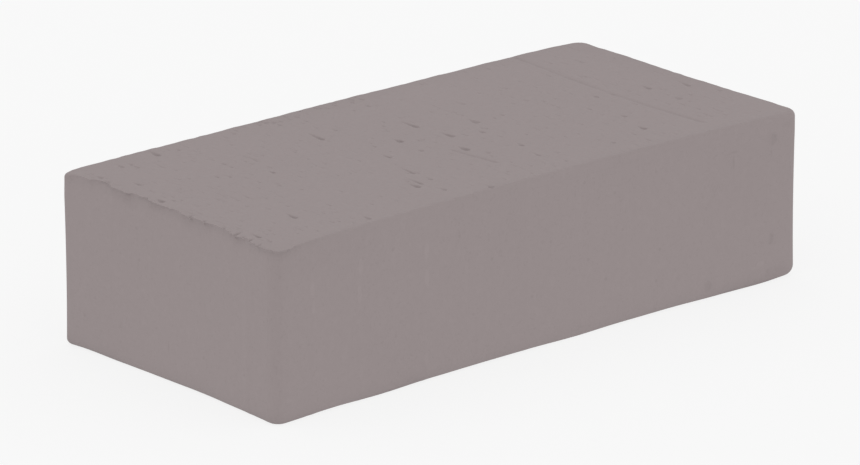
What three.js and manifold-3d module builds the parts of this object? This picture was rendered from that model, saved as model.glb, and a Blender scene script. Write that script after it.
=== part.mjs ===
// A detailing clay bar: one wire-cut block of kneadable clay, lying flat.
// Millimetres, +Z up. X runs along the length, Y across the width. The origin is
// the middle of the underside, so the block stands on z = 0.
//
// The clay leaves a die as a column whose outline is the block seen from above. The
// column's walls are smooth, its corners are rounded and its faces are drawn in a
// little between them. A wire then parts the block from the column. The wire travels
// from the back face to the front face, so every mark on top runs across the width.

import * as THREE from 'three';
import { mergeVertices } from 'three/addons/utils/BufferGeometryUtils.js';
import Module from 'manifold-3d';

// ---- Driving dimensions ----------------------------------------------------------

const LENGTH = 100;
const WIDTH = 47.6;
const HEIGHT = 25.6;

const CORNER_RADIUS = 2.4; // upright corners of the column
const FOOT_RADIUS = 0.9; // soft edge all round the underside
const FRONT_HOLLOW = 0.8; // how far the front face is drawn in at its middle
const END_HOLLOW = 0.8; // the same, for the two end faces

const WIRE_MARK_DEPTH = 0.14; // the long line that one hard grain scored
const WIRE_MARK_WIDTH = 0.4;

const LIP_NOTCH_DEPTH = 0.35; // how far the torn lip is bitten back
const NICK_RADIUS = 1.5; // half-moon nicks in the front face
const NICK_DEPTH = 0.16;
const NICK_TILT = THREE.MathUtils.degToRad(9);

// Small pits that the wire dragged open. Each is [x, y, length, radius]: x and y give
// the deep end, and the tail runs back from it towards the back face.
const DRAG_PITS = [
  [-46.8, 18, 2.4, 0.35],
  [-34.4, 21, 3.4, 0.5],
  [-40, 17.6, 3, 0.35],
  [-45, 11.4, 2, 0.3],
  [-47.4, 3.4, 2.4, 0.5],
  [-47.4, -17.2, 3, 0.4],
  [-38.4, -14, 3.6, 0.45],
  [-27.6, 3.4, 2.2, 0.35],
  [-31.2, -20.6, 2.6, 0.35],
  [-15.8, -14.2, 4.6, 0.6],
  [-13.1, -10, 2.4, 0.4],
  [-12.1, 11.4, 4.2, 0.6],
  [-10.6, -1.6, 3, 0.4],
  [-4.8, 2.4, 1.6, 0.55],
  [-0.2, -6.8, 1.4, 0.55],
  [1.8, 6.8, 4.6, 0.6],
  [2.6, -0.4, 3, 0.45],
  [5.6, -15.2, 3, 0.45],
  [7.4, -10.4, 3.4, 0.45],
  [8, -2, 3.6, 0.45],
  [9.8, 2.4, 3.2, 0.4],
  [24.2, 14, 3, 0.35],
  [26, -16, 2.2, 0.5],
  [31.4, 17.8, 2.4, 0.35],
  [40, -1.6, 2.8, 0.35],
  [42.2, 15.4, 2, 0.35],
];

// Places along the lip of the left end, as y, where the clay tore instead of parting.
const LIP_NOTCHES = [13.4, 10.6, 8.8, -4.8, -7.4, -12, -15.2, -18];

// Height above the underside of the two nicks near the front face's right end.
const NICK_HEIGHTS = [6.8, 22];
const NICK_X = 44.2;

// ---- Mesh and solid --------------------------------------------------------------

const wasm = await Module();
wasm.setup();

function toSolid(geometry) {
  geometry.deleteAttribute('normal');
  geometry.deleteAttribute('uv');
  const merged = mergeVertices(geometry);
  return new wasm.Manifold(new wasm.Mesh({
    numProp: 3,
    vertProperties: new Float32Array(merged.attributes.position.array),
    triVerts: new Uint32Array(merged.index.array),
  }));
}

function toGeometry(solid) {
  const mesh = solid.getMesh();
  const geometry = new THREE.BufferGeometry();
  geometry.setAttribute('position', new THREE.BufferAttribute(mesh.vertProperties, 3));
  geometry.setIndex(new THREE.BufferAttribute(mesh.triVerts, 1));
  geometry.computeVertexNormals();
  return geometry;
}

// ---- The column and its cut ------------------------------------------------------

// The die's outline, counter-clockwise from the front-left corner. A hollow face is
// one quadratic curve, whose control point lies at twice the hollow's depth.
function columnOutline() {
  const x = LENGTH / 2;
  const y = WIDTH / 2;
  const r = CORNER_RADIUS;
  const quarter = Math.PI / 2;
  const outline = new THREE.Shape();
  outline.moveTo(-x + r, -y);
  outline.quadraticCurveTo(0, -y + 2 * FRONT_HOLLOW, x - r, -y);
  outline.absarc(x - r, -y + r, r, -quarter, 0);
  outline.quadraticCurveTo(x - 2 * END_HOLLOW, 0, x, y - r);
  outline.absarc(x - r, y - r, r, 0, quarter);
  outline.lineTo(-x + r, y);
  outline.absarc(-x + r, y - r, r, quarter, 2 * quarter);
  outline.quadraticCurveTo(-x + 2 * END_HOLLOW, 0, -x, -y + r);
  outline.absarc(-x + r, -y + r, r, 2 * quarter, 3 * quarter);
  return outline;
}

// The column is longer than the block and rounded at both ends. The wire takes its
// top off, which leaves the foot rounded and the upper edge crisp.
function wireCutBlock() {
  const spare = 4;
  const column = new THREE.ExtrudeGeometry(columnOutline(), {
    depth: HEIGHT + spare - 2 * FOOT_RADIUS,
    curveSegments: 10,
    bevelEnabled: true,
    bevelThickness: FOOT_RADIUS,
    bevelSize: FOOT_RADIUS,
    bevelOffset: -FOOT_RADIUS,
    bevelSegments: 4,
  });
  column.translate(0, 0, FOOT_RADIUS);
  const offcut = new THREE.BoxGeometry(LENGTH + spare, WIDTH + spare, 2 * spare);
  offcut.translate(0, 0, HEIGHT + spare);
  return toSolid(column).subtract(toSolid(offcut));
}

// ---- Marks -----------------------------------------------------------------------

// A pit is a teardrop lying just under the surface: blunt and deep at the front, and
// drawn out to a point at the back.
function dragPit([x, y, length, radius]) {
  const profile = [new THREE.Vector2(0, -radius)];
  profile.push(new THREE.Vector2(0.75 * radius, -0.6 * radius));
  profile.push(new THREE.Vector2(radius, 0));
  profile.push(new THREE.Vector2(0.6 * radius, 0.4 * length));
  profile.push(new THREE.Vector2(0, length));
  const teardrop = new THREE.LatheGeometry(profile, 8);
  teardrop.scale(1, 1, 1.2);
  teardrop.translate(x, y, HEIGHT + 0.35 * radius);
  return toSolid(teardrop);
}

// The long mark is a shallow V, scored nearly straight across the top.
function wireMark() {
  const section = new THREE.Shape();
  section.moveTo(0, -WIRE_MARK_DEPTH);
  section.lineTo(WIRE_MARK_WIDTH, WIRE_MARK_DEPTH);
  section.lineTo(-WIRE_MARK_WIDTH, WIRE_MARK_DEPTH);
  const path = new THREE.CatmullRomCurve3([
    new THREE.Vector3(36, 23.2, HEIGHT),
    new THREE.Vector3(34.2, 0, HEIGHT),
    new THREE.Vector3(34.2, -19.8, HEIGHT + WIRE_MARK_DEPTH),
  ]);
  const score = new THREE.ExtrudeGeometry(section, { steps: 12, extrudePath: path });
  return toSolid(score);
}

// A torn place in the lip is an uneven bite out of the upper edge of the left end.
function lipNotch(y, index) {
  const bite = new THREE.IcosahedronGeometry(LIP_NOTCH_DEPTH, 1);
  const stretch = 1.3 + 0.5 * (index % 3);
  bite.scale(1, stretch, 1.1);
  const hollow = END_HOLLOW * (1 - (2 * y / WIDTH) ** 2);
  bite.translate(-LENGTH / 2 + hollow, y, HEIGHT);
  return toSolid(bite);
}

// A nick is where the flat end of a round rod met the front face a little askew, so
// that only one edge of it sank in.
function nick(height) {
  const rodLength = 2;
  const rod = new THREE.CylinderGeometry(NICK_RADIUS, NICK_RADIUS, rodLength, 20);
  rod.translate(0, -rodLength / 2, 0);
  rod.rotateX(NICK_TILT);
  const hollow = FRONT_HOLLOW * (1 - (2 * NICK_X / LENGTH) ** 2);
  const reach = NICK_DEPTH - NICK_RADIUS * Math.sin(NICK_TILT);
  rod.translate(NICK_X, -WIDTH / 2 + hollow + reach, height);
  return toSolid(rod);
}

// ---- The bar ---------------------------------------------------------------------

let block = wireCutBlock();
for (const pit of DRAG_PITS) {
  block = block.subtract(dragPit(pit));
}
LIP_NOTCHES.forEach((y, index) => {
  block = block.subtract(lipNotch(y, index));
});
for (const height of NICK_HEIGHTS) {
  block = block.subtract(nick(height));
}
block = block.subtract(wireMark());

const clay = new THREE.MeshStandardMaterial({
  color: 0x998f8f,
  roughness: 0.88,
  metalness: 0,
});

const bar = new THREE.Mesh(toGeometry(block), clay);
bar.name = 'clay_bar';

const part = new THREE.Group();
part.name = 'detailing_clay_bar';
part.add(bar);

export default part;
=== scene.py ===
"""A detailing clay bar: one wire-cut block of warm grey clay, on a plain pale floor.

The block is built as one closed mesh, finest where the clay is marked. Its walls came
out of a die: smooth, drawn in between rounded corners, with faint lines running up
them. Its top was parted by a wire that travelled from the back face to the front face:
crisp, pitted by the grains that the wire dragged along, and torn into a thin lip over
the left end. All sizes are in millimetres until the mesh is made.
"""

import math

import bpy
import numpy as np
from mathutils import Matrix, Vector, kdtree
from mathutils.geometry import delaunay_2d_cdt


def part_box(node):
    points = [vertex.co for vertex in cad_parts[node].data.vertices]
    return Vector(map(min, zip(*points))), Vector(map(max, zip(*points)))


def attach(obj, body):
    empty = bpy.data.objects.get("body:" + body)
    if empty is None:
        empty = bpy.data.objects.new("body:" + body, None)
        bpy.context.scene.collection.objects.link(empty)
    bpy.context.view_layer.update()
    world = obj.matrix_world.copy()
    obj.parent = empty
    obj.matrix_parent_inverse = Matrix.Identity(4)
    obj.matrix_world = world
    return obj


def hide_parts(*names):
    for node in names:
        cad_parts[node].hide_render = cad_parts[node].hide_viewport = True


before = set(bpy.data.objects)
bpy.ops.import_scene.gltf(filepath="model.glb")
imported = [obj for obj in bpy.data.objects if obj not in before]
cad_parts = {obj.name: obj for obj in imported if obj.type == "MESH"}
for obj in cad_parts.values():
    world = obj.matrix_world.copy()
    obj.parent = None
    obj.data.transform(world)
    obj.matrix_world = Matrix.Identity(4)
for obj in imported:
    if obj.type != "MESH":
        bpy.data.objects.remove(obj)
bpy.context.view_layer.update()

MM = 0.001
NODE = "clay_bar"
low, high = (np.array(corner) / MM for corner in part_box(NODE))
LENGTH, WIDTH, HEIGHT = high - low

# ---- The die's outline -------------------------------------------------------------

# The outward direction of each face, in order round the block.
FACES = {"front": (0, -1), "right": (1, 0), "back": (0, 1), "left": (-1, 0)}
# How far each face is drawn in at its middle, at the top and at the foot. Below 0 it
# swells out.
HOLLOWS = {
    "front": (1.15, 0.65), "right": (0.9, 0.7), "back": (-0.15, -0.15), "left": (1.0, 0.65),
}
# The radius of each upright corner, named by the face before it.
CORNERS = {"front": 2.0, "right": 2.3, "back": 1.7, "left": 1.9}
WAIST = 0.16  # how far the walls are drawn in half way up
FACE_STEPS, CORNER_STEPS = 600, 80  # steps of the outline before it is cut into columns

PLAIN_PITCH = 0.62  # spacing of the wall's columns on plain clay
LINE_PITCH = 0.2  # beside a die line or a dimple
LIP_PITCH = 0.16  # along the torn lip of the left end
LINE_REACH = 2.0  # how far the close columns reach from a die line
DIMPLE_MARGIN = 1.2  # past the radius of a dimple
LIP_REACH = 3.5  # and from the left end
PITCH_BLEND = 15  # steps of the outline over which the spacing changes, each way

# ---- Rows of the wall --------------------------------------------------------------

TOP_INSETS = (0.3, 0.14)  # rows on the top itself, this far inside its rim
EDGE_STEPS = 4
LIP_ZONE = 2.5  # the depth that the lip and its shadow reach
LIP_SHARES = (0.02, 0.05, 0.09, 0.14, 0.22, 0.33, 0.5, 0.73, 1.0)  # rows within it
WALL_STEPS = 26
FOOT_STEPS = 7
UNDERSIDE_INSETS = (0.15, 0.3)  # rows on the underside, this far inside the foot

# Radius of the top's edge and of the foot along each face, how it varies as (share,
# cell, seed), and (place, extra, reach) where it was knocked softer or left sharper.
EDGE_RADII = {"front": 0.22, "right": 0.25, "back": 0.25, "left": 0.05}
EDGE_VARIES = (0.5, 1.3, 53)
EDGE_EXTRAS = (
    ((50, -23.8), 0.55, 4.5), ((-50, 23.8), 0.5, 2.6), ((50, 23.8), 0.2, 4.0),
    ((-46, -23.8), -0.16, 6),
)
FOOT_RADII = {"front": 1.05, "right": 1.0, "back": 1.0, "left": 1.1}
FOOT_VARIES = (0.3, 9, 54)
FOOT_EXTRAS = (((50, -23.8), 0.6, 5.0), ((-50, 23.8), -0.3, 4.0))

# ---- Surface of the top ------------------------------------------------------------

CROWN = 0.07  # how far the top stands up half way along
RIGHT_SAG, RIGHT_SAG_FROM, RIGHT_SAG_TO = 0.1, 38, 50  # its depth, and where along x
# The top also sags a little round these places: (place, sag, reach).
SAGS = (
    ((50, -24), 0.15, 6), ((50, 24), 0.02, 8), ((-50, 24), 0.14, 14), ((-50, -24), 0.3, 5),
    ((-24, 24), 0.1, 16),
)
# Relief of the plain clay: (height, cell along x, cell along y, seed).
TOP_RELIEF = (
    (0.018, 23, 17, 31), (0.008, 7, 9, 32),  # broad waves
    (0.008, 0.5, 6, 33), (0.004, 0.35, 2.5, 34),  # streaks along the wire's path
    (0.004, 9, 0.6, 35),  # the wire's chatter, across its path
)

FINE = 0.13  # spacing of points inside a mark
COARSE = 7  # plain clay has every seventh of them
GRADED = 2  # and the strip between has every second
FINE_MARGIN = 1  # fine points go on for this many past a mark
GRADED_MARGIN = 3  # and the strip between goes on for this many more
MARKED = 0.01  # clay cut this deep counts as marked
RIM_GAP = 0.1  # the points stay this far inside the outline
TOP_CLEARANCE = 0.14  # and this far from the points of the rim
RIM_STRIP = 4  # points further inside than this are clear of the rim anyway
UNDERSIDE_PITCH, UNDERSIDE_GAP, UNDERSIDE_CLEARANCE = 1.4, 1, 0.5  # for the underside

PIT_SPREAD = 1.42  # how much wider a pit is at its rounded rim
PIT_STRETCH = 0.3  # a tail is longer by this share of the pit's width
PIT_TAPER = 0.75  # the share of its width that a pit loses along its tail
PIT_BLUNTNESS = 0.8  # below 1, the floor stays deep up to the blunt end
PIT_FLANKS = 1.4  # above 1, the flanks flatten out at the rim
PIT_LEANS = (-0.05, 0.12)  # how far a tail veers to the right for each millimetre

# Marks that the wire dragged open: (x, y, length, width, depth). x and y give the deep
# blunt end, and the tail runs back from it towards the back face.
DRAG_PITS = (
    # left end
    (-47.6, 3.4, 1.2, 0.7, 0.42), (-47.7, -17.9, 2.2, 0.45, 0.34), (-47.0, 17.9, 0.8, 0.6, 0.24),
    (-47.5, 15.5, 1.1, 0.5, 0.2), (-45.1, 11.5, 1.6, 0.5, 0.24), (-46.2, 2.5, 0.8, 0.4, 0.16),
    (-41.6, 19.8, 1.8, 0.55, 0.2), (-40.0, 19.7, 1.0, 0.45, 0.16), (-40.2, 18.0, 1.6, 0.5, 0.16),
    (-38.6, -14.7, 2.2, 0.55, 0.36), (-37.6, -3.2, 1.6, 0.4, 0.13), (-38.2, 9.0, 1.2, 0.4, 0.1),
    (-39.8, -1.0, 3.6, 0.35, 0.08), (-37.6, 15.4, 3.4, 0.4, 0.1),
    # left of the middle
    (-34.4, 20.7, 2.8, 0.75, 0.34), (-34.8, 6.9, 1.1, 0.5, 0.16), (-33.4, 5.7, 0.7, 0.5, 0.15),
    (-31.3, -21.8, 1.4, 0.5, 0.28), (-30.7, 20.6, 0.8, 0.5, 0.16), (-30.2, 10.9, 0.8, 0.5, 0.18),
    (-30.4, 9.0, 1.1, 0.4, 0.14), (-27.6, 3.2, 1.0, 0.5, 0.3), (-25.8, 9.0, 4.0, 0.4, 0.14),
    # middle
    (-16.8, -15.4, 1.8, 0.7, 0.4), (-15.5, -14.7, 4.2, 0.42, 0.26), (-13.2, -14.1, 1.4, 0.5, 0.22),
    (-14.9, -19.0, 1.2, 0.45, 0.18), (-13.1, -10.3, 3.8, 0.5, 0.28), (-12.2, 10.7, 4.0, 0.65, 0.36),
    (-10.7, -2.4, 2.0, 0.5, 0.26), (-9.2, -22.4, 1.4, 0.5, 0.28), (-8.0, 12.7, 0.9, 0.5, 0.15),
    (-5.3, -3.0, 1.0, 0.6, 0.2), (-4.6, 2.4, 1.2, 0.8, 0.44), (-1.7, -6.1, 1.0, 0.42, 0.12),
    (-0.1, -6.8, 1.8, 0.85, 0.46), (1.2, -10.1, 0.9, 0.7, 0.14), (1.8, 6.2, 3.8, 0.65, 0.36),
    (2.6, -0.6, 2.4, 0.75, 0.34), (3.3, 18.6, 1.0, 0.6, 0.16), (5.8, -15.8, 2.0, 0.45, 0.2),
    (7.2, -10.5, 1.2, 0.6, 0.26), (7.2, -2.1, 1.0, 0.65, 0.24), (9.8, 2.3, 1.8, 1.0, 0.3),
    # right
    (14.9, 2.3, 0.8, 0.6, 0.17), (25.8, -16.2, 1.6, 0.65, 0.38), (26.4, -4.0, 0.8, 0.5, 0.15),
    (27.8, -9.9, 0.9, 0.6, 0.22), (31.4, 0.0, 1.0, 0.6, 0.2), (34.1, -0.6, 1.4, 0.6, 0.2),
    (39.9, -8.5, 1.0, 0.9, 0.22), (40.1, -2.0, 2.2, 0.6, 0.3), (41.8, 14.5, 2.6, 0.75, 0.13),
    (45.6, -4.6, 2.6, 0.55, 0.24), (47.4, -9.3, 0.9, 0.6, 0.15),
    # fainter ones
    (5.3, -4.4, 1.0, 0.5, 0.1), (1.6, -18.7, 1.0, 0.5, 0.1), (-0.6, -21.3, 0.8, 0.4, 0.09),
    (-2.4, 1.0, 0.8, 0.5, 0.1), (-1.3, -1.5, 0.9, 0.4, 0.08), (-4.4, -12.7, 1.0, 0.5, 0.1),
    (18.0, -1.4, 0.8, 0.5, 0.09), (14.1, -5.7, 0.7, 0.5, 0.08), (15.4, -6.7, 0.7, 0.5, 0.1),
    (20.4, -8.8, 0.9, 0.4, 0.08), (23.3, -10.6, 0.8, 0.5, 0.09), (25.9, -7.2, 0.7, 0.5, 0.1),
    (38.4, -14.4, 0.9, 0.5, 0.1), (40.2, -15.6, 0.8, 0.5, 0.08), (36.9, -1.2, 0.7, 0.5, 0.1),
    (41.1, -3.5, 0.8, 0.5, 0.09), (-15.0, 12.4, 1.0, 0.5, 0.1), (-9.3, 15.5, 0.8, 0.5, 0.1),
    (-9.0, 2.9, 0.9, 0.5, 0.12), (-8.4, 4.5, 0.7, 0.4, 0.08), (-1.6, 9.5, 0.9, 0.5, 0.1),
    (-19.5, 1.4, 1.0, 0.5, 0.1), (-45.9, 7.5, 0.8, 0.4, 0.1), (-36.2, -19.8, 1.0, 0.5, 0.12),
    (-35.2, -20.0, 0.8, 0.45, 0.1), (-34.1, -21.8, 0.8, 0.45, 0.1), (-35.4, -16.0, 2.8, 0.35, 0.07),
    (-15.0, -0.8, 0.9, 0.5, 0.1), (14.2, 10.3, 1.8, 1.0, 0.13), (19.9, 5.4, 0.7, 0.5, 0.09),
    (23.6, 0.8, 1.6, 0.4, 0.09), (22.4, 5.3, 0.7, 0.5, 0.1), (17.1, -16.0, 0.9, 0.4, 0.08),
    (17.8, -18.4, 0.8, 0.5, 0.2), (22.5, -20.8, 0.9, 0.5, 0.13), (6.9, -20.3, 0.8, 0.5, 0.13),
    (33.2, -6.6, 0.7, 0.5, 0.1),
    # the crumbled stretch of the back edge
    (-19.9, 21.4, 1.0, 0.7, 0.16), (-13.0, 22.5, 0.8, 0.8, 0.2), (-12.1, 21.7, 0.7, 0.7, 0.16),
    (-11.1, 21.3, 0.9, 0.6, 0.14), (-12.3, 20.0, 0.8, 0.6, 0.14), (-7.9, 21.4, 0.8, 0.7, 0.15),
    (-8.2, 19.0, 0.7, 0.5, 0.12), (2.8, 21.7, 0.8, 0.6, 0.13),
)
SMALL_PITS = 420
SMALL_PIT_MARGIN = 1.5  # they stay this far inside the block's sides
SMALL_PIT_CROWDING = 1.35  # above 1, they crowd towards the left end
SMALL_PIT_DEPTHS = (0.03, 0.11)
DASHES = 0.6  # the share of them that are dashes, and not round
DASH_LENGTHS, DASH_WIDTH = (0.6, 2.2), 0.3
ROUND_LENGTH, ROUND_WIDTHS = 0.7, (0.35, 0.55)
RIM_PITS = 26  # more along the crumbled stretch of the back edge
RIM_PIT_STRETCH = (-22, 5)  # which lies here along x
RIM_PIT_INSETS = (0.4, 2.6)  # and this far inside the back face
RIM_PIT_LENGTHS, RIM_PIT_WIDTH, RIM_PIT_DEPTHS = (0.6, 1.4), 0.5, (0.06, 0.14)
# Fine scored lines: (points that the line passes through, width, depth).
SCORES = (
    (((36.0, 23.4), (34.7, 9.3), (34.1, -0.5), (34.0, -8.0), (34.3, -20.2)), 0.85, 0.14),
    (((-1.8, -5.2), (-1.6, -7.5), (-0.9, -14.9)), 0.6, 0.15),
    (((37.5, 7.4), (37.2, 4.5), (37.3, 1.5)), 0.4, 0.05),
    (((43.5, -9.4), (43.1, -13.4)), 0.35, 0.04),
)
SCORE_WOBBLE, SCORE_WOBBLE_CELL = 0.04, 1.6  # how far a line wobbles, and how often
SCORE_FRONT_FADE, SCORE_BACK_FADE = 1, 0.5  # a line fades over this length at its ends

# ---- The torn lip of the left end --------------------------------------------------

LIP_OVERHANG = 0.1
LIP_RAGGED = ((0.9, 0.45, 51), (1.4, 0.9, 55), (0.8, 3.2, 52))  # (share, cell, seed)
LIP_FADE = (2.5, 12)  # it fades along a long face between these distances from the end
LIP_BACK_FADE = (2.5, 0.5)  # and between these distances from the back face
LIP_BACK_LOSS = 0.8  # where this share of it goes
LIP_THICKNESS = 0.15
LIP_THICKER = 0.6  # it is thicker by this share where it hangs out furthest
LIP_SLOPE = (0.3, 2.4)  # it falls away between these depths, in shares of its thickness
UNDERCUT = 0.02  # how far the wall below it is hollowed out
UNDERCUT_FROM = 0.6  # the hollow starts at this share of its thickness
UNDERCUT_UNTIL = 0.7  # and fades below this depth
TONGUE = ((-49.3, -23.1), 0.36, 1.4)  # where it is pulled furthest: place, overhang, reach
TONGUE_END = (1.3, 1.9)  # it ends this far along the front face
TONGUE_RAGGED = 0.1
# How far the left end's rim stands in, as (y, inset): the wire pulled it unevenly.
RIM_PULL = (
    (-22, 0.0), (-17, 0.35), (-8, 0.45), (1, 0.5), (4.5, 0.95), (8, 0.8), (10, 1.0), (13, 0.95),
    (15, 1.35), (16.6, 1.45), (18, 1.1), (21, 0.8), (23.8, 0.1),
)
RIGHT_PULL = (((50, -16), 0.35, 8), ((50, 20), 0.4, 4))  # the right end's: (place, inset, reach)
PULL_DEPTH = 3.75  # the pull fades over this depth
# How far the left end's thin lip alone stands in or, below 0, hangs out, as (y, inset),
# with a step at each tooth.
RIM_TEETH = (
    (-22.9, 0.3), (-21.2, 0.1), (-19.9, -0.25), (-18.4, -0.45), (-17.6, -0.1), (-16.9, 0.0),
    (-16.1, -0.4), (-14.6, -0.4), (-13.3, -0.3), (-11.9, 0.0), (-8.6, 0.05), (-7.6, -0.35),
    (-6.4, -0.25), (-5.1, -0.35), (-2.7, -0.4), (-1.2, 0.0), (1.6, 0.0), (3.2, -0.4), (5.2, -0.4),
    (6.0, 0.3), (9.2, 0.2), (10.1, -0.35), (11.1, -0.3), (12.4, -0.1), (13.6, -0.2), (15.0, 0.6),
    (16.7, 0.45), (17.5, 0.3), (18.4, -0.1), (20.3, 0.35), (21.5, 0.35), (22.5, 0.0),
)
TEETH_DEPTHS = (0.05, 0.8)  # the teeth fade between these depths
# Tears that run into the top from the lip: (y, length, half width, depth).
TEARS = (
    (13.4, 0.8, 0.16, 0.26), (12.3, 0.5, 0.12, 0.16), (9.4, 1.2, 0.2, 0.36), (8.8, 0.5, 0.14, 0.16),
    (3.7, 0.4, 0.14, 0.2), (-4.6, 1.2, 0.18, 0.4), (-7.6, 1.1, 0.18, 0.4), (-9.5, 0.5, 0.13, 0.22),
    (-11.8, 1.1, 0.18, 0.5), (-13.6, 0.5, 0.13, 0.2), (-14.9, 1.3, 0.2, 0.42),
    (-16.5, 0.6, 0.15, 0.26), (-18.0, 0.7, 0.18, 0.38), (-20.2, 0.4, 0.12, 0.22),
)
TEAR_LEAN = 0.25  # how far a tear veers towards the back for each millimetre inwards
TEAR_START = 0.4  # it starts this far inside the left end
TEAR_CUT = 0.75  # the share of its depth that it cuts into the top
TEAR_FLANKS = 1.1  # above 1, it is wider than its half width says
TEAR_ZONE = 3  # no tear reaches further in from the left end

# ---- Marks on the walls ------------------------------------------------------------

# Waves of the walls: (height, cells round the block, cell up the wall, seed).
WALL_WAVES = ((0.02, 24, 14, 41), (0.015, 90, 11, 42), (0.006, 300, 7, 43))
# Soft dimples: (centre, radii, depth).
DIMPLES = (
    ((44.3, -23.4, 21.9), (1.1, 1.0, 1.2), 0.12),
    ((44.3, -23.4, 6.6), (0.8, 1.0, 1.0), 0.1),
    ((32.0, -23.2, 2.1), (0.7, 1.2, 0.6), 0.14),
    ((45.6, -23.6, 1.4), (2.4, 2.0, 0.9), 0.18),
    ((-49.0, 7.0, 16.4), (1.0, 0.5, 0.5), 0.06),
    ((-49.0, 0.6, 5.3), (1.0, 0.35, 1.0), 0.08),
    ((20.5, 23.8, 9.5), (1.2, 1.0, 0.8), 0.16),
    ((-31.0, 23.8, 16.5), (0.5, 1.0, 1.8), 0.1),
    ((49.0, 7.5, 13.0), (1.0, 0.6, 1.0), 0.14),
)
# Lines that the die left up the walls: (x, y, half width, height of the ridge).
DIE_LINES = (
    (-42.9, -23.7, 0.4, 0.05), (-34.4, -23.5, 0.4, 0.06), (-22.2, -23.2, 0.45, 0.06),
    (-3.0, -23.2, 0.5, 0.03), (16.0, -23.2, 0.5, 0.03), (-49.8, -17.0, 0.5, 0.05),
    (-49.9, -21.0, 0.4, 0.05), (-49.3, 4.0, 0.6, 0.03), (12.0, 23.9, 0.5, 0.05),
    (-18.0, 23.9, 0.6, 0.05), (30.5, 23.9, 0.4, 0.05), (49.1, -8.0, 0.5, 0.05),
    (49.2, 11.0, 0.4, 0.05),
)
DIE_WANDER, DIE_WANDER_CELL = 0.2, 3.5  # how far a line wanders sideways, and how often
SAME_WALL = 4  # columns this near to a line's place are on its wall

THROUGH = 2  # the radius of a mark through the wall, which is past the wall's own curve
# Small crisp marks, stains and painted shade: (centre, radii, change of shade). A radius of 2 goes
# through.
STAINS_AND_PAINTED_SHADE = (
    ((44.3, -23.4, 19.9), (0.18, 2, 0.8), -0.035), ((36.95, -23.4, 19.9), (0.24, 2, 1.2), -0.05),
    ((37.1, -23.4, 21.4), (0.55, 2, 0.24), -0.05), ((36.0, -23.4, 21.3), (0.55, 2, 0.2), -0.03),
    # the last on the next line is painted shade in the small dent near the front's foot
    ((36.5, -23.4, 20.0), (0.6, 2, 0.6), -0.012), ((32.0, -23.3, 2.1), (0.75, 2, 0.85), -0.05),
    # painted shade in the scooped dent at the front's right foot, then a pale stain
    ((45.3, -23.5, 1.6), (2.3, 2, 0.9), -0.025), ((42.4, -23.4, 3.3), (0.7, 2, 0.45), 0.035),
    ((41.2, -23.4, 2.8), (0.9, 2, 0.25), 0.02), ((47.0, -23.4, 23.6), (0.9, 2, 0.5), -0.02),
    ((42.3, -23.4, 23.4), (0.4, 2, 0.6), 0.018), ((43.8, -23.4, 15.6), (0.2, 2, 2.6), 0.014),
    # the last on the next line is painted shade in the dimple on the left end
    ((7.0, -23.3, 23.85), (12.0, 2, 0.13), -0.014), ((-49.0, 7.0, 16.4), (2, 0.3, 0.25), -0.06),
    # painted shade in the narrow dimple on the left end, and painted shadow below a bump of its rim
    ((-49.0, 0.6, 5.3), (2, 0.18, 0.9), -0.05), ((-49.5, 9.5, 24.4), (2, 2.2, 1.0), -0.028),
    # painted shade in the dimples on the back face and on the right end
    ((20.5, 23.9, 9.5), (0.9, 2, 0.6), -0.045), ((49.0, 7.5, 13.0), (2, 0.55, 0.8), -0.045),
    # the first on the next line is painted shade in the dimple on the back face
    ((-31.0, 23.9, 16.5), (0.25, 2, 1.6), -0.03), ((48.9, -14.0, 5.2), (2, 0.3, 1.1), -0.03),
    ((-49.3, -16.6, 12.0), (2, 0.6, 10.5), 0.01), ((-49.4, -18.6, 17.6), (2, 0.3, 2.4), -0.016),
    # painted shade on the torn facet at the left end's top back corner
    ((-50.0, 23.3, 24.9), (0.9, 1.4, 0.6), -0.03),
)
MARK_EDGE = (0.8, 1.1)  # a mark fades between these shares of its radii
# Painted highlights along the die lines' ridges: (x, y, z, half width, half height, change).
DIE_LINE_HIGHLIGHTS = (
    (-43.0, -23.7, 18.3, 0.42, 1.35, 0.036), (-42.8, -23.7, 15.6, 0.28, 1.0, 0.025),
    (-34.0, -23.5, 19.6, 0.42, 1.25, 0.036), (-34.3, -23.5, 15.7, 0.42, 1.3, 0.036),
    (-34.2, -23.5, 4.1, 0.35, 1.0, 0.025), (-21.7, -23.2, 19.1, 0.45, 1.3, 0.036),
    (-21.7, -23.2, 15.3, 0.45, 1.2, 0.036), (-22.1, -23.2, 3.4, 0.35, 0.9, 0.025),
    (-14.2, -23.2, 15.0, 0.35, 0.9, 0.02), (12.1, 23.9, 18.0, 0.5, 1.4, 0.04),
    (11.9, 23.9, 14.2, 0.4, 1.1, 0.025), (-18.2, 23.9, 20.1, 0.5, 1.2, 0.03),
    (-18.0, 23.9, 8.4, 0.45, 1.5, 0.04), (30.4, 23.9, 16.0, 0.45, 1.2, 0.03),
    (49.1, -8.1, 17.5, 0.45, 1.3, 0.04), (49.2, 11.0, 9.0, 0.45, 1.2, 0.03),
)
# Painted shade of two round dents, darker to their right: (centre, radii, change).
HALF_MOONS = (
    ((44.2, -23.4, 21.85), (1.2, 2, 1.08), -0.06), ((44.2, -23.4, 6.65), (0.8, 2, 0.95), -0.06),
)
HALF_MOON_LEFT = 0.28  # the share of the change that their left half has
HALF_MOON_BLEND = 0.25  # the share of the radius over which the right half darkens

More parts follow.
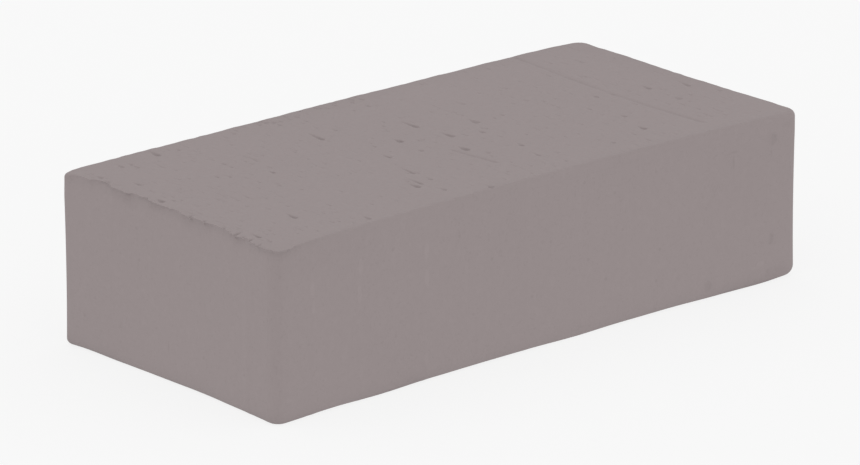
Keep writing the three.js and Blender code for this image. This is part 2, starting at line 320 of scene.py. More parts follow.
# Dark specks no bigger than a grain: (x, z) on the front face and (y, z) on the left end.
FRONT_SPECKS = (
    (21.9, 21.5), (8.2, 22.7), (15.5, 14.2), (8.9, 11.1), (22.7, 9.7), (21.9, 5.1), (12.2, 7.5),
    (14.0, 20.0), (-9.4, 15.2), (1.8, 15.3), (-15.5, 19.9), (-28.0, 20.7), (-1.9, 8.0),
    (-13.1, 7.9),
)
LEFT_SPECKS = ((7.4, 21.0), (18.8, 5.4), (-7.3, 5.7), (-16.6, 5.7))
SPECK_RADIUS, SPECK_CHANGE = 0.28, -0.06
SPECK_INSET = 0.5  # their centres lie this far inside the block's sides

# Painted shade at the foot, where the block meets the floor, with a darker line at the very bottom.
FOOT_SHADE, FOOT_SHADE_REACH = -0.12, 0.65
FOOT_LINE, FOOT_LINE_REACH = -0.05, 0.25
FOOT_SHARES = {"front": 1.0, "right": 1.0, "back": 1.0, "left": 1.4}
# Where there is more or less of it: (place, change, reach).
FOOT_UNEVEN = (((-38, -23.8), -0.5, 4), ((-16, -23.3), -0.6, 3), ((43, -23.8), 0.8, 10))
# Painted shade below the lip, and near the front's left corner as (centre, radii,
# change); the top is darker along its rim, and along its right and back edges.
LIP_SHADE, LIP_SHADE_REACH = -0.05, 1.0
NEAR_SHADE = ((-42, -23.8, 23.5), (13, 3, 3.5), -0.012)
RIM_SHADE, RIM_SHADE_REACH = -0.02, 0.8
FAR_SHADE = -0.02
FAR_RIGHT_REACH, FAR_RIGHT_FROM = 5, -12  # how far in it reaches, and where along y it starts
FAR_BACK_REACH, FAR_BACK_FROM = 3, -30  # the same, with where along x
PIT_SHADE = -0.28  # painted shade in the marks, for each millimetre of any mark's depth
TEAR_SHADE = -0.15  # and this much more painted shade for each millimetre of a tear's

CLAY_DARK, CLAY_PALE = (0.297, 0.2537, 0.2537, 1), (0.309, 0.2643, 0.2643, 1)
FLOOR_HALF_SIDE = 6.0  # in metres

# ---- The view and the light --------------------------------------------------------

VIEW_AZIMUTH = math.radians(-41.12)
VIEW_ELEVATION = math.radians(18.07)
VIEW_ROLL = math.radians(-0.16)
VIEW_DISTANCE = 911.0
AIM_RIGHT = -0.85  # how far from the block's middle the camera aims
AIM_UP = -1.2
SENSOR = 36.0
LENS = 264.7
# (name, azimuth, elevation, distance in metres, size in metres, power in watts)
SOFTBOXES = (
    ("softbox_left", -131, 20, 1.6, 0.9, 0.75),
    ("softbox_right", 49, 20, 1.6, 0.9, 0.9),
    ("softbox_top", 0, 89, 1.8, 1.2, 1.0),
)
SKY = 0.94  # strength of the light from all round


# ---- Noise -------------------------------------------------------------------------


def noise(u, v, cell_u, cell_v, seed, wrap=64):
    """Smooth noise from -1 to 1, with cells cell_u by cell_v that repeat after wrap."""
    table = np.random.default_rng(seed).uniform(-1, 1, (wrap, 64))
    a, b = np.asarray(u) / cell_u, np.asarray(v) / cell_v
    i, j = np.floor(a).astype(int), np.floor(b).astype(int)
    s, t = a - i, b - j
    s, t = s * s * (3 - 2 * s), t * t * (3 - 2 * t)
    i0, i1, j0, j1 = i % wrap, (i + 1) % wrap, j % 64, (j + 1) % 64
    near = table[i0, j0] * (1 - s) + table[i1, j0] * s
    far = table[i0, j1] * (1 - s) + table[i1, j1] * s
    return near * (1 - t) + far * t


def round_noise(run, girth, cell, seed):
    """Noise from -1 to 1 along the outline, with cells of about this length."""
    count = max(4, int(round(girth / cell)))
    return noise(run, run * 0, girth / count, 1, seed, wrap=count)


def ramp(x, start, end):
    """0 before start, 1 after end, and smooth between."""
    t = np.clip((x - start) / (end - start), 0, 1)
    return t * t * (3 - 2 * t)


def bell(distance, reach):
    """1 at no distance, falling away smoothly past the reach."""
    return np.exp(-(distance / reach) ** 2)


# ---- Outline -----------------------------------------------------------------------


class Outline:
    """Points round the foot of the die's outline, counter-clockwise from the front left
    corner: closest along the lip and beside the die lines."""

    def __init__(self):
        x, y, upper = self.trace()
        run = self.run_of(x, y)
        pitch = self.pitch_at(x, y)
        count = np.concatenate([[0], np.cumsum(np.diff(run) / pitch[:-1])])
        places = np.arange(int(count[-1])) * count[-1] / int(count[-1])
        self.run = np.interp(places, count, run)
        self.girth = run[-1]
        self.x, self.y, self.upper = (np.interp(self.run, run, v) for v in (x, y, upper))
        dx = np.roll(self.x, -1) - np.roll(self.x, 1)
        dy = np.roll(self.y, -1) - np.roll(self.y, 1)
        size = np.hypot(dx, dy)
        self.nx, self.ny = dy / size, -dx / size

    @staticmethod
    def trace():
        """The outline in fine steps, and how much further in the top stands."""
        names = list(FACES)
        parts = []
        for k, face in enumerate(names):
            before, after = CORNERS[names[k - 1]], CORNERS[face]
            out = np.array(FACES[face], float)
            along = np.array([-out[1], out[0]])
            half = abs(along @ (LENGTH / 2, WIDTH / 2))
            reach = abs(out @ (LENGTH / 2, WIDTH / 2))
            t = np.linspace(0, 1, FACE_STEPS, endpoint=False)
            bow = 4 * t * (1 - t)
            at_top, at_foot = HOLLOWS[face]
            place = -half + before + (2 * half - before - after) * t
            points = np.outer(place, along) + np.outer(reach - at_foot * bow, out)
            parts.append(np.column_stack([points, (at_top - at_foot) * bow]))
            turn = np.linspace(0, math.pi / 2, CORNER_STEPS, endpoint=False)
            centre = along * (half - after) + out * (reach - after)
            arc = centre + after * (np.outer(np.cos(turn), out) + np.outer(np.sin(turn), along))
            parts.append(np.column_stack([arc, np.zeros(len(turn))]))
        dense = np.concatenate(parts)
        return np.concatenate([dense, dense[:1]]).T

    @staticmethod
    def run_of(x, y):
        """Distance along the outline to each of its points."""
        return np.concatenate([[0], np.cumsum(np.hypot(np.diff(x), np.diff(y)))])

    @staticmethod
    def pitch_at(x, y):
        """Spacing wanted at each point, smoothed so that it changes gently."""
        pitch = np.full_like(x, PLAIN_PITCH)
        marks = [(lx, ly, LINE_REACH) for lx, ly, _, _ in DIE_LINES]
        marks += [(cx, cy, rx + DIMPLE_MARGIN) for (cx, cy, _), (rx, _, _), _ in DIMPLES]
        for mx, my, reach in marks:
            pitch[np.hypot(x - mx, y - my) < reach] = LINE_PITCH
        pitch[x < -LENGTH / 2 + LIP_REACH] = LIP_PITCH
        window = np.hanning(2 * PITCH_BLEND + 1)
        padded = np.concatenate([pitch[-1 - PITCH_BLEND:-1], pitch, pitch[1:1 + PITCH_BLEND]])
        return np.convolve(padded, window / window.sum(), "valid")

    def by_face(self, values):
        """A value for each face, blended round the corners."""
        total = 0
        for face, (ox, oy) in FACES.items():
            total = total + values[face] * np.clip(self.nx * ox + self.ny * oy, 0, 1) ** 2
        return total

    def near(self, extras):
        """The sum at each point of extras given as (place, extra, reach)."""
        return sum(extra * bell(np.hypot(self.x - cx, self.y - cy), reach)
                   for (cx, cy), extra, reach in extras)

    def varied(self, share, cell, seed):
        """1, give or take this share, in cells of about this length."""
        return 1 + share * round_noise(self.run, self.girth, cell, seed)


# ---- The wire-cut top --------------------------------------------------------------


def small_pits():
    """Seeded pits that fill in between the large ones, denser towards the left: dashes
    and round specks."""
    rng = np.random.default_rng(11)
    pits = []
    half_length, half_width = LENGTH / 2 - SMALL_PIT_MARGIN, WIDTH / 2 - SMALL_PIT_MARGIN
    for _ in range(SMALL_PITS):
        x = -half_length + 2 * half_length * rng.random() ** SMALL_PIT_CROWDING
        y = rng.uniform(-half_width, half_width)
        dash = rng.random() < DASHES
        length = rng.uniform(*DASH_LENGTHS) if dash else ROUND_LENGTH
        width = DASH_WIDTH if dash else rng.uniform(*ROUND_WIDTHS)
        pits.append((x, y, length, width, rng.uniform(*SMALL_PIT_DEPTHS)))
    for _ in range(RIM_PITS):
        y = WIDTH / 2 - rng.uniform(*RIM_PIT_INSETS)
        x = rng.uniform(*RIM_PIT_STRETCH)
        length = rng.uniform(*RIM_PIT_LENGTHS)
        pits.append((x, y, length, RIM_PIT_WIDTH, rng.uniform(*RIM_PIT_DEPTHS)))
    return pits


def pit_depth(x, y, pit, lean):
    """Depth of one dragged pit at x, y: blunt and deep in front, thin at its tail."""
    x0, y0, length, width, depth = pit
    length, width = length + PIT_STRETCH * width, width * PIT_SPREAD
    front = 0.5 * width
    along = y - y0
    across = x - x0 - lean * along
    ahead = np.clip(-along / front, 0, 1)
    behind = np.clip(along / length, 0, 1)
    narrowed = np.where(along < 0, np.sqrt(1 - ahead ** 2), 1 - PIT_TAPER * behind)
    half = 0.5 * width * narrowed + 1e-6
    floor = np.where(along < 0, (1 - ahead ** 2) ** PIT_BLUNTNESS, 1 - behind)
    section = np.clip(1 - (across / half) ** 2, 0, 1) ** PIT_FLANKS
    return depth * floor * section


def score_depth(x, y, points, width, depth):
    """Depth of a fine scored line that fades at its two ends."""
    route = np.array(points)[::-1]
    wobble = SCORE_WOBBLE * noise(x * 0, y, 1, SCORE_WOBBLE_CELL, 21)
    centre = np.interp(y, route[:, 1], route[:, 0]) + wobble
    start, end = route[0, 1], route[-1, 1]
    fade = ramp(y, start, start + SCORE_FRONT_FADE) * (1 - ramp(y, end - SCORE_BACK_FADE, end))
    uneven = 0.85 + 0.25 * noise(x * 0, y, 1, 1.4, 22)
    return depth * fade * uneven * bell(x - centre, 0.5 * width)


def tear_depth(x, y, place, length, half, depth):
    """Depth of one tear that runs into the top from the left end's lip."""
    inward = np.maximum(x + LENGTH / 2 - TEAR_START, 0)
    across = (y - place - TEAR_LEAN * inward) / half
    fade = 1 - ramp(inward, 0.4 * length, length + TEAR_START)
    return TEAR_CUT * depth * fade * bell(across, TEAR_FLANKS)


def tears_depth(x, y):
    """How deep the tears of the left end's lip cut into the top at x, y."""
    total = np.zeros_like(x)
    lip = x < -LENGTH / 2 + TEAR_ZONE
    for tear in TEARS:
        total[lip] = np.maximum(total[lip], tear_depth(x[lip], y[lip], *tear))
    return total


def marks_depth(x, y):
    """How deep the marks cut into the top at x, y."""
    total = np.zeros_like(x)
    rng = np.random.default_rng(5)
    for pit in list(DRAG_PITS) + small_pits():
        lean = rng.uniform(*PIT_LEANS)
        x0, y0, length, width, _ = pit
        beside = np.abs(x - x0) < width + 0.15 * length
        near = beside & (y > y0 - width) & (y < y0 + length + width)
        total[near] = np.maximum(total[near], pit_depth(x[near], y[near], pit, lean))
    for points, width, depth in SCORES:
        total = np.maximum(total, score_depth(x, y, points, width, depth))
    return np.maximum(total, tears_depth(x, y))


def top_height(x, y):
    """Height of the wire-cut top: nearly flat, drawn into faint streaks by the wire."""
    relief = sum(height * noise(x, y, along_x, along_y, seed)
                 for height, along_x, along_y, seed in TOP_RELIEF)
    sag = RIGHT_SAG * ramp(x, RIGHT_SAG_FROM, RIGHT_SAG_TO) - CROWN * (1 - (2 * x / LENGTH) ** 2)
    for (cx, cy), depth, reach in SAGS:
        sag = sag + depth * bell(np.hypot(x - cx, y - cy), reach)
    return HEIGHT - sag + relief - marks_depth(x, y)


# ---- Walls -------------------------------------------------------------------------


def lip_strength(line):
    """1 along the left end, fading along the front face and near the back one."""
    start, end = LIP_FADE
    left = 1 - ramp(line.x, -LENGTH / 2 + start, -LENGTH / 2 + end)
    start, end = LIP_BACK_FADE
    return left * (1 - LIP_BACK_LOSS * ramp(line.y, WIDTH / 2 - start, WIDTH / 2 - end))


def overhang(line):
    """How far the lip stands out at each column, with its fine ragged edge."""
    ragged = 1
    for share, cell, seed in LIP_RAGGED:
        ragged = ragged + share * round_noise(line.run, line.girth, cell, seed)
    (x, y), pull, reach = TONGUE
    start, end = TONGUE_END
    tongue = pull * bell(np.hypot(line.x - x, line.y - y), reach)
    tongue = tongue * (1 - ramp(line.x, x + start, x + end)) * (1 + TONGUE_RAGGED * ragged)
    return LIP_OVERHANG * ragged * lip_strength(line) + tongue


def lip_shift(drop, over, lip, pull, teeth):
    """Outward shift of the wall's top: its uneven pull, its teeth, the lip that hangs out
    over it, and the hollow below the lip."""
    thin = LIP_THICKNESS * (1 + LIP_THICKER * ramp(over, 0.15, 0.4))
    start, end = LIP_SLOPE
    shift = over * (1 - ramp(drop, start * thin, end * thin))
    hollow = ramp(drop, UNDERCUT_FROM * thin, end * thin)
    shift = shift - UNDERCUT * lip * hollow * (1 - ramp(drop, UNDERCUT_UNTIL, LIP_ZONE))
    return shift - pull * (1 - ramp(drop, 0, PULL_DEPTH)) - teeth * (1 - ramp(drop, *TEETH_DEPTHS))


def same_wall(line, x, y):
    """Whether each column stands on the wall at x, y, and near it."""
    return np.hypot(line.x - x, line.y - y) < SAME_WALL


def across_wall(line, x, y):
    """Distance along the wall from x, y."""
    return (line.x - x) * -line.ny + (line.y - y) * line.nx


def wall_shift(line, z):
    """Outward shift of the wall at height z: waves, waist, die lines and dimples."""
    shift = sum(height * noise(line.run, z, line.girth / cells, cell, seed, wrap=cells)
                for height, cells, cell, seed in WALL_WAVES)
    shift -= WAIST * 4 * z * (HEIGHT - z) / HEIGHT ** 2
    for lx, ly, half, ridge in DIE_LINES:
        seed = int(abs(lx) * 10)
        wander = DIE_WANDER * noise(z, z * 0, DIE_WANDER_CELL, 1, seed)
        patchy = 0.55 + 0.45 * noise(z, z * 0, 4, 1, seed + 1)
        section = bell(across_wall(line, lx, ly) - wander, half)
        shift += same_wall(line, lx, ly) * ridge * patchy * section
    for (cx, cy, cz), (rx, ry, rz), depth in DIMPLES:
        d2 = ((line.x - cx) / rx) ** 2 + ((line.y - cy) / ry) ** 2 + ((z - cz) / rz) ** 2
        shift -= depth * np.exp(-d2 ** 1.5)
    return shift


def wall_rows(edge, foot):
    """The wall's rows from the top to the underside, as (kind, inset, drop), with an
    inset and a depth below the top for every column."""
    none = np.zeros_like(edge)
    rows = [("top", edge + inset, none) for inset in TOP_INSETS]
    for angle in np.linspace(0, math.pi / 2, EDGE_STEPS + 1):
        rows.append(("wall", edge * (1 - math.sin(angle)), edge * (1 - math.cos(angle))))
    rows += [("wall", none, edge + (LIP_ZONE - edge) * share) for share in LIP_SHARES]
    for share in np.arange(1, WALL_STEPS + 1) / WALL_STEPS:
        rows.append(("wall", none, LIP_ZONE + (HEIGHT - foot - LIP_ZONE) * share))
    for angle in np.linspace(0, math.pi / 2, FOOT_STEPS + 1)[1:]:
        rows.append(("wall", foot * (1 - math.cos(angle)), HEIGHT - foot * (1 - math.sin(angle))))
    rows += [("underside", foot + inset, none + HEIGHT) for inset in UNDERSIDE_INSETS]
    return rows


def wall_rings(line):
    """Every row's points and shades, as one array for each row."""
    edge = line.by_face(EDGE_RADII) * line.varied(*EDGE_VARIES) + line.near(EDGE_EXTRAS)
    foot = line.by_face(FOOT_RADII) * line.varied(*FOOT_VARIES) + line.near(FOOT_EXTRAS)
    lip, over = lip_strength(line), overhang(line)
    faces_left, faces_right = np.clip(-line.nx, 0, 1) ** 2, np.clip(line.nx, 0, 1) ** 2
    pull = np.interp(line.y, *np.array(RIM_PULL).T) * faces_left
    pull = pull + line.near(RIGHT_PULL) * faces_right
    teeth = np.interp(line.y, *np.array(RIM_TEETH).T) * faces_left
    rings, shades = [], []
    for kind, inset, drop in wall_rows(edge, foot):
        z = HEIGHT - drop
        out = wall_shift(line, z) - line.upper * z / HEIGHT - inset
        if kind != "underside":
            out = out + lip_shift(drop, over, lip, pull, teeth)
        x, y = line.x + line.nx * out, line.y + line.ny * out
        if kind == "top":
            z = top_height(x, y)
        elif kind == "wall":
            z = z - (HEIGHT - top_height(x, y)) * (1 - ramp(drop, edge, LIP_ZONE))
        else:
            z = np.zeros_like(z)
        rings.append(np.stack([x, y, z], 1))
        shades.append(top_shade(x, y) if kind == "top" else wall_shade(line, z, drop, lip))
    return rings, shades


# ---- Shades ------------------------------------------------------------------------


def top_shade(x, y):
    """Brightness of the top's clay: painted shade in its marks, and darker along its rim."""
    uneven = 0.6 + 0.4 * noise(x, y, 3, 3, 61)
    shade = 1 + RIM_SHADE * bell(inside_by(x, y, 0), RIM_SHADE_REACH) * uneven
    right = FAR_SHADE * bell(x - LENGTH / 2, FAR_RIGHT_REACH) * ramp(y, FAR_RIGHT_FROM, 0)
    back = FAR_SHADE * bell(y - WIDTH / 2, FAR_BACK_REACH) * ramp(x, FAR_BACK_FROM, 0)
    shade = shade + np.minimum(right, back) * (1 + 0.5 * noise(x, y, 1.4, 1.4, 65))
    # painted shade in the marks and the tears
    return shade + PIT_SHADE * marks_depth(x, y) + TEAR_SHADE * tears_depth(x, y)


def wall_shade(line, z, drop, lip):
    """Painted shade on the wall's clay: darker at the foot, below the lip and near the
    front's left corner."""
    # painted shade at the foot, patchy round the outline
    patchy = 0.9 + 0.35 * round_noise(line.run, line.girth, 11, 62)
    patchy = patchy + 0.15 * round_noise(line.run, line.girth, 2.5, 63)
    patchy = patchy * (line.by_face(FOOT_SHARES) + line.near(FOOT_UNEVEN))
    dark = FOOT_SHADE * np.exp(-z / FOOT_SHADE_REACH) + FOOT_LINE * np.exp(-z / FOOT_LINE_REACH)
    shade = 1 + dark * patchy
    # painted shade below the lip
    shade = shade + LIP_SHADE * lip * bell(drop, LIP_SHADE_REACH) * ramp(drop, 0.02, 0.12)
    # painted shade near the top of the front face, by its left corner
    (nx, ny, nz), (ax, ay, az), painted_dark = NEAR_SHADE
    near = np.hypot(np.hypot((line.x - nx) / ax, (line.y - ny) / ay), (z - nz) / az)
    shade = shade + painted_dark * bell(near, 1) * (1 + 0.8 * noise(line.run, z, 0.7, 0.7, 64))
    return shade


# ---- Caps --------------------------------------------------------------------------


def inside_by(x, y, level):
    """Roughly how far a point lies inside the outline, at the top (0) or the foot (1)."""
    u, v = 2 * x / LENGTH, 2 * y / WIDTH
    front = y + WIDTH / 2 - HOLLOWS["front"][level] * (1 - u * u)
    back = WIDTH / 2 - HOLLOWS["back"][level] * (1 - u * u) - y
    left = x + LENGTH / 2 - HOLLOWS["left"][level] * (1 - v * v)
    right = LENGTH / 2 - HOLLOWS["right"][level] * (1 - v * v) - x
    return np.minimum(np.minimum(front, back), np.minimum(left, right))


def lattice(pitch):
    """Counts and places of a square lattice that covers the block."""
    nx, ny = int(LENGTH / pitch / 2), int(WIDTH / pitch / 2)
    i, j = np.meshgrid(np.arange(-nx, nx + 1), np.arange(-ny, ny + 1), indexing="ij")
    return i, j, i * pitch, j * pitch


def spread(mask, steps):
    """The mask, grown by this many lattice steps each way."""
    grown = mask.copy()
    for axis in (0, 1):
        for step in range(1, steps + 1):
            grown |= np.roll(mask, step, axis) | np.roll(mask, -step, axis)
    return grown


def top_points():
    """Points on a lattice over the top: fine in the marks and coarse elsewhere."""
    i, j, x, y = lattice(FINE)
    marked = marks_depth(x.ravel(), y.ravel()).reshape(x.shape) > MARKED
    grown = spread(marked, FINE_MARGIN)
    wide = spread(grown, GRADED_MARGIN)
    coarse = (i % COARSE == 0) & (j % COARSE == 0)
    graded = (i % GRADED == 0) & (j % GRADED == 0)
    keep = (coarse | (wide & graded) | grown) & (inside_by(x, y, 0) > RIM_GAP)
    return np.stack([x[keep], y[keep]], 1)


def underside_points():
    """A plain lattice over the underside."""
    _, _, x, y = lattice(UNDERSIDE_PITCH)
    keep = inside_by(x, y, 1) > UNDERSIDE_GAP
    return np.stack([x[keep], y[keep]], 1)


def clear_of(ring, inner, gap):
    """The inner points that are at least gap away from every point of the ring."""
    tree = kdtree.KDTree(len(ring))
    for k, (x, y) in enumerate(ring):
        tree.insert((x, y, 0), k)
    tree.balance()
    keep = np.ones(len(inner), bool)
    for k in np.nonzero(inside_by(*inner.T, 0) < RIM_STRIP)[0]:
        keep[k] = tree.find((*inner[k], 0))[2] > gap
    return inner[keep]


def fill(ring, inner):
    """Triangles that fill the ring through the inner points, as rows of indices into
    the ring's points followed by the inner ones, and the inner points that they use."""
    every = np.concatenate([ring, inner])
    loop = [(k, (k + 1) % len(ring)) for k in range(len(ring))]
    _, _, faces, sources, _, _ = delaunay_2d_cdt([Vector(p) for p in every], loop, [], 1, 1e-6)
    source = np.array([s[0] if s else -1 for s in sources])
    triangles = source[np.array(faces)]
    a, b, c = (every[triangles[:, k]] for k in range(3))
    area = (b[:, 0] - a[:, 0]) * (c[:, 1] - a[:, 1]) - (b[:, 1] - a[:, 1]) * (c[:, 0] - a[:, 0])
    triangles[area < 0] = triangles[area < 0][:, ::-1]
    used = np.zeros(len(every), bool)
    used[triangles] = True
    used[:len(ring)] = True
    order = np.cumsum(used) - 1
    return order[triangles], every[used][len(ring):]


# ---- The block ---------------------------------------------------------------------


def clay_mesh():
    """The whole block as one closed mesh, with a painted shade for every vertex."""
    line = Outline()
    rings, shades = wall_rings(line)
    count = len(line.x)
    quads = []
    for k in range(len(rings) - 1):
        upper = k * count + np.arange(count)
        lower = upper + count
        quads.append(np.stack([lower, np.roll(lower, -1), np.roll(upper, -1), upper], 1))

    rim = rings[0][:, :2]
    triangles, top = fill(rim, clear_of(rim, top_points(), TOP_CLEARANCE))
    offset = len(rings) * count
    triangles = np.where(triangles < count, triangles, triangles - count + offset)

    base = rings[-1][:, :2]
    below, under = fill(base, clear_of(base, underside_points(), UNDERSIDE_CLEARANCE))
    last = (len(rings) - 1) * count
    below = np.where(below < count, below + last, below - count + offset + len(top))[:, ::-1]

    vertices = np.concatenate(rings + [
        np.column_stack([top, top_height(*top.T)]),
        np.column_stack([under, np.zeros(len(under))]),
    ])
    faces = np.concatenate(quads).tolist() + triangles.tolist() + below.tolist()
    mesh = bpy.data.meshes.new("clay_block")
    mesh.from_pydata((vertices * MM).tolist(), [], faces)
    # painted shade for every vertex; the underside takes the foot's painted shade
    shade = np.concatenate(shades + [top_shade(*top.T), np.full(len(under), 1 + FOOT_SHADE)])
    mesh.attributes.new("shade", "FLOAT", "POINT").data.foreach_set("value", shade)
    mesh.validate()
    mesh.shade_smooth()
    return mesh


# ---- Material ----------------------------------------------------------------------


def add(tree, kind, **inputs):
    """A node of this kind with these inputs set or linked."""
    node = tree.nodes.new(kind)
    for name, value in inputs.items():
        socket = node.inputs[name.replace("_", " ")]
        if isinstance(value, bpy.types.NodeSocket):
            tree.links.new(value, socket)
        else:
            socket.default_value = value
    return node


def stretched(tree, place, stretch):
    """The place coordinates, squeezed so that a pattern on them is drawn out."""
    node = tree.nodes.new("ShaderNodeVectorMath")
    node.operation = "MULTIPLY"
    tree.links.new(place, node.inputs[0])
    node.inputs[1].default_value = stretch
    return node.outputs["Vector"]


def mix(tree, factor, low_value, high_value):
    """The low value where the factor is 0, and the high one where it is 1."""
    node = tree.nodes.new("ShaderNodeMix")
    for socket, value in zip((node.inputs[0], node.inputs[2], node.inputs[3]),
                             (factor, low_value, high_value)):
        if isinstance(value, bpy.types.NodeSocket):
            tree.links.new(value, socket)
        else:
            socket.default_value = value
    return node.outputs[0]


def wall_mark_factor(tree, place, centre, radii, change, half_moon):
    """A factor that is 1 away from the mark, and changes the colour inside it: a stain, painted
    shade or a painted highlight.
    """
    offset = tree.nodes.new("ShaderNodeVectorMath")
    offset.operation = "SUBTRACT"
    tree.links.new(place, offset.inputs[0])
    offset.inputs[1].default_value = [v * MM for v in centre]
    scaled = stretched(tree, offset.outputs["Vector"], [1 / (r * MM) for r in radii])
    size = tree.nodes.new("ShaderNodeVectorMath")
    size.operation = "LENGTH"
    tree.links.new(scaled, size.inputs[0])
    inner, outer = MARK_EDGE
    patch = add(tree, "ShaderNodeMapRange", Value=size.outputs["Value"], From_Min=inner,
                From_Max=outer, To_Min=1.0, To_Max=0.0).outputs["Result"]
    if half_moon:
        axes = add(tree, "ShaderNodeSeparateXYZ", Vector=scaled)
        side = add(tree, "ShaderNodeMapRange", Value=axes.outputs["X"], From_Min=0.0,
                   From_Max=HALF_MOON_BLEND, To_Min=HALF_MOON_LEFT, To_Max=1.0)
        cut = tree.nodes.new("ShaderNodeMath")
        cut.operation = "MULTIPLY"
        tree.links.new(patch, cut.inputs[0])
        tree.links.new(side.outputs["Result"], cut.inputs[1])
        patch = cut.outputs["Value"]
    factor = add(tree, "ShaderNodeMapRange", Value=patch, To_Min=1.0, To_Max=1 + change)
    return factor.outputs["Result"]


def wall_marks():
    """Every mark on the walls' colour, stains, painted shade and painted highlights, as (centre,
    radii, change, half_moon).
    """
    marks = [(*row, False) for row in STAINS_AND_PAINTED_SHADE]
    for x, y, z, half, tall, change in DIE_LINE_HIGHLIGHTS:
        on_right_end = x > LENGTH / 2 - 3
        radii = (THROUGH, half, tall) if on_right_end else (half, THROUGH, tall)
        marks.append(((x, y, z), radii, change, False))
    marks += [(*row, True) for row in HALF_MOONS]
    for x, z in FRONT_SPECKS:
        centre = (x, SPECK_INSET - WIDTH / 2, z)
        marks.append((centre, (SPECK_RADIUS, THROUGH, SPECK_RADIUS), SPECK_CHANGE, False))
    for y, z in LEFT_SPECKS:
        centre = (SPECK_INSET - LENGTH / 2, y, z)
        marks.append((centre, (THROUGH, SPECK_RADIUS, SPECK_RADIUS), SPECK_CHANGE, False))
    return marks


def clay_material():
    """Matt warm grey clay: fine mineral grain and grit, faint mottling, streaks that run
    with the wire on the top and with the die on the walls, the walls' stains, and painted
    shade and painted highlights."""
    material = bpy.data.materials.new("detailing_clay")
    material.use_nodes = True
    tree = material.node_tree
    tree.nodes.clear()
    output = tree.nodes.new("ShaderNodeOutputMaterial")
    clay = tree.nodes.new("ShaderNodeBsdfPrincipled")
    tree.links.new(clay.outputs["BSDF"], output.inputs["Surface"])
    coordinates = tree.nodes.new("ShaderNodeTexCoord")
    place = coordinates.outputs["Object"]

    facing = add(tree, "ShaderNodeSeparateXYZ", Vector=coordinates.outputs["Normal"])
    on_top = add(tree, "ShaderNodeMapRange", Value=facing.outputs["Z"], From_Min=0.6, From_Max=0.8)
    along_wire = add(tree, "ShaderNodeTexNoise", Vector=stretched(tree, place, (1, 0.12, 1)),
                     Scale=1400.0, Detail=2.0)
    along_die = add(tree, "ShaderNodeTexNoise", Vector=stretched(tree, place, (1, 1, 0.08)),
                    Scale=1100.0, Detail=2.0)
    streaks = mix(tree, on_top.outputs["Result"], along_die.outputs["Fac"],
                  along_wire.outputs["Fac"])

    broad = add(tree, "ShaderNodeTexNoise", Vector=place, Scale=55.0, Detail=3.0)
    fine = add(tree, "ShaderNodeTexNoise", Vector=place, Scale=1100.0, Detail=4.0, Roughness=0.6)
    blend = mix(tree, 0.7, broad.outputs["Fac"], fine.outputs["Fac"])
    blend = mix(tree, 0.12, blend, streaks)
    colours = tree.nodes.new("ShaderNodeValToRGB")
    tree.links.new(blend, colours.inputs["Fac"])
    colours.color_ramp.elements[0].position = 0.3
    colours.color_ramp.elements[0].color = CLAY_DARK
    colours.color_ramp.elements[1].position = 0.7
    colours.color_ramp.elements[1].color = CLAY_PALE
    # the shade attribute carries the painted shade made with the mesh
    shade = tree.nodes.new("ShaderNodeAttribute")
    shade.attribute_name = "shade"
    grit = add(tree, "ShaderNodeTexNoise", Vector=place, Scale=2400.0, Detail=0.0)
    specks = add(tree, "ShaderNodeMapRange", Value=grit.outputs["Fac"],
                 From_Min=0.68, From_Max=0.76, To_Min=1.0, To_Max=0.965)
    dust = add(tree, "ShaderNodeTexNoise", Vector=place, Scale=900.0, Detail=1.0)
    flecks = add(tree, "ShaderNodeMapRange", Value=dust.outputs["Fac"],
                 From_Min=0.58, From_Max=0.64, To_Min=1.0, To_Max=1.012)
    colour = colours.outputs["Color"]
    factors = [shade.outputs["Fac"], specks.outputs["Result"], flecks.outputs["Result"]]
    factors += [wall_mark_factor(tree, place, *mark) for mark in wall_marks()]
    for factor in factors:
        shaded = tree.nodes.new("ShaderNodeVectorMath")
        shaded.operation = "SCALE"
        tree.links.new(colour, shaded.inputs[0])
        tree.links.new(factor, shaded.inputs["Scale"])
        colour = shaded.outputs["Vector"]
    tree.links.new(colour, clay.inputs["Base Color"])

    rough = add(tree, "ShaderNodeMapRange", Value=fine.outputs["Fac"], To_Min=0.84, To_Max=0.96)
    tree.links.new(rough.outputs["Result"], clay.inputs["Roughness"])
    clay.inputs["Specular IOR Level"].default_value = 0.25
    grain = add(tree, "ShaderNodeTexNoise", Vector=place, Scale=1800.0, Detail=3.0, Roughness=0.6)
    relief = mix(tree, 0.2, grain.outputs["Fac"], streaks)
    bump = add(tree, "ShaderNodeBump", Strength=0.2, Distance=0.0002, Height=relief)
    tree.links.new(bump.outputs["Normal"], clay.inputs["Normal"])
    return material


def floor_material():
    """Nearly all glow, over a dark grey that takes the block's faint shadow."""
    material = bpy.data.materials.new("pale_floor")
    material.use_nodes = True
    shader = material.node_tree.nodes["Principled BSDF"]
    shader.inputs["Base Color"].default_value = (0.12, 0.12, 0.12, 1)
    shader.inputs["Roughness"].default_value = 1.0
    shader.inputs["Specular IOR Level"].default_value = 0.0
    shader.inputs["Emission Color"].default_value = (1, 1, 1, 1)
    shader.inputs["Emission Strength"].default_value = 0.825
    return material


# ---- Scene -------------------------------------------------------------------------


def view_axes(azimuth, elevation):
    """The camera's right, up and back directions for this viewing angle."""
    back = Vector((
        math.sin(azimuth) * math.cos(elevation),
        -math.cos(azimuth) * math.cos(elevation),
        math.sin(elevation),
    ))
    right = Vector((math.cos(azimuth), math.sin(azimuth), 0))
    return right, back.cross(right), back


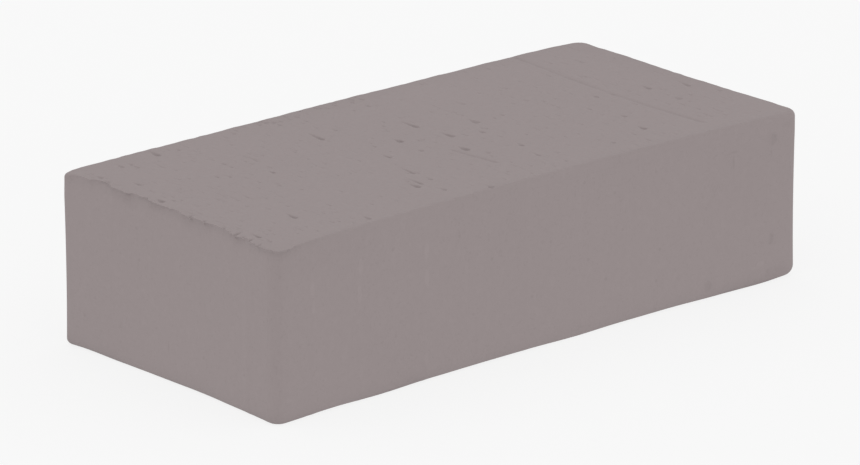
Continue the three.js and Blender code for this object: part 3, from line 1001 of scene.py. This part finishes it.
def add_camera():
    """A long lens at the photo's viewing angle."""
    right, up, back = view_axes(VIEW_AZIMUTH, VIEW_ELEVATION)
    aim = Vector((0, 0, HEIGHT / 2)) + right * AIM_RIGHT + up * AIM_UP
    rolled_right = right * math.cos(VIEW_ROLL) + up * math.sin(VIEW_ROLL)
    rolled_up = back.cross(rolled_right)
    data = bpy.data.cameras.new("camera")
    data.lens = LENS
    data.sensor_width = SENSOR
    data.clip_start = 0.01
    data.clip_end = 50
    camera = bpy.data.objects.new("camera", data)
    turn = Matrix((rolled_right, rolled_up, back)).transposed().to_4x4()
    camera.matrix_world = Matrix.Translation((aim + back * VIEW_DISTANCE) * MM) @ turn
    bpy.context.scene.collection.objects.link(camera)
    bpy.context.scene.camera = camera


def add_floor():
    """A wide flat floor under the block."""
    mesh = bpy.data.meshes.new("floor")
    side = FLOOR_HALF_SIDE
    corners = [(-side, -side, 0), (side, -side, 0), (side, side, 0), (-side, side, 0)]
    mesh.from_pydata(corners, [], [(0, 1, 2, 3)])
    mesh.materials.append(floor_material())
    floor = bpy.data.objects.new("floor", mesh)
    bpy.context.scene.collection.objects.link(floor)


def add_softbox(name, azimuth, elevation, distance, size, power):
    """A square area light that looks at the block."""
    light = bpy.data.lights.new(name, "AREA")
    light.size = size
    light.energy = power
    box = bpy.data.objects.new(name, light)
    right, up, back = view_axes(math.radians(azimuth), math.radians(elevation))
    turn = Matrix((right, up, back)).transposed().to_4x4()
    box.matrix_world = Matrix.Translation(back * distance) @ turn
    bpy.context.scene.collection.objects.link(box)


def add_light():
    """Even light from all round, and a weak softbox on each side and overhead."""
    world = bpy.data.worlds.new("studio")
    world.use_nodes = True
    background = world.node_tree.nodes["Background"]
    background.inputs["Color"].default_value = (1, 1, 1, 1)
    background.inputs["Strength"].default_value = SKY
    bpy.context.scene.world = world
    for softbox in SOFTBOXES:
        add_softbox(*softbox)
    bpy.context.scene.view_settings.view_transform = "Standard"


# ---- Build -------------------------------------------------------------------------

block = bpy.data.objects.new("clay_block", clay_mesh())
block.data.materials.append(clay_material())
bpy.context.scene.collection.objects.link(block)
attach(block, "root")
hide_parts(NODE)

add_floor()
add_light()
add_camera()
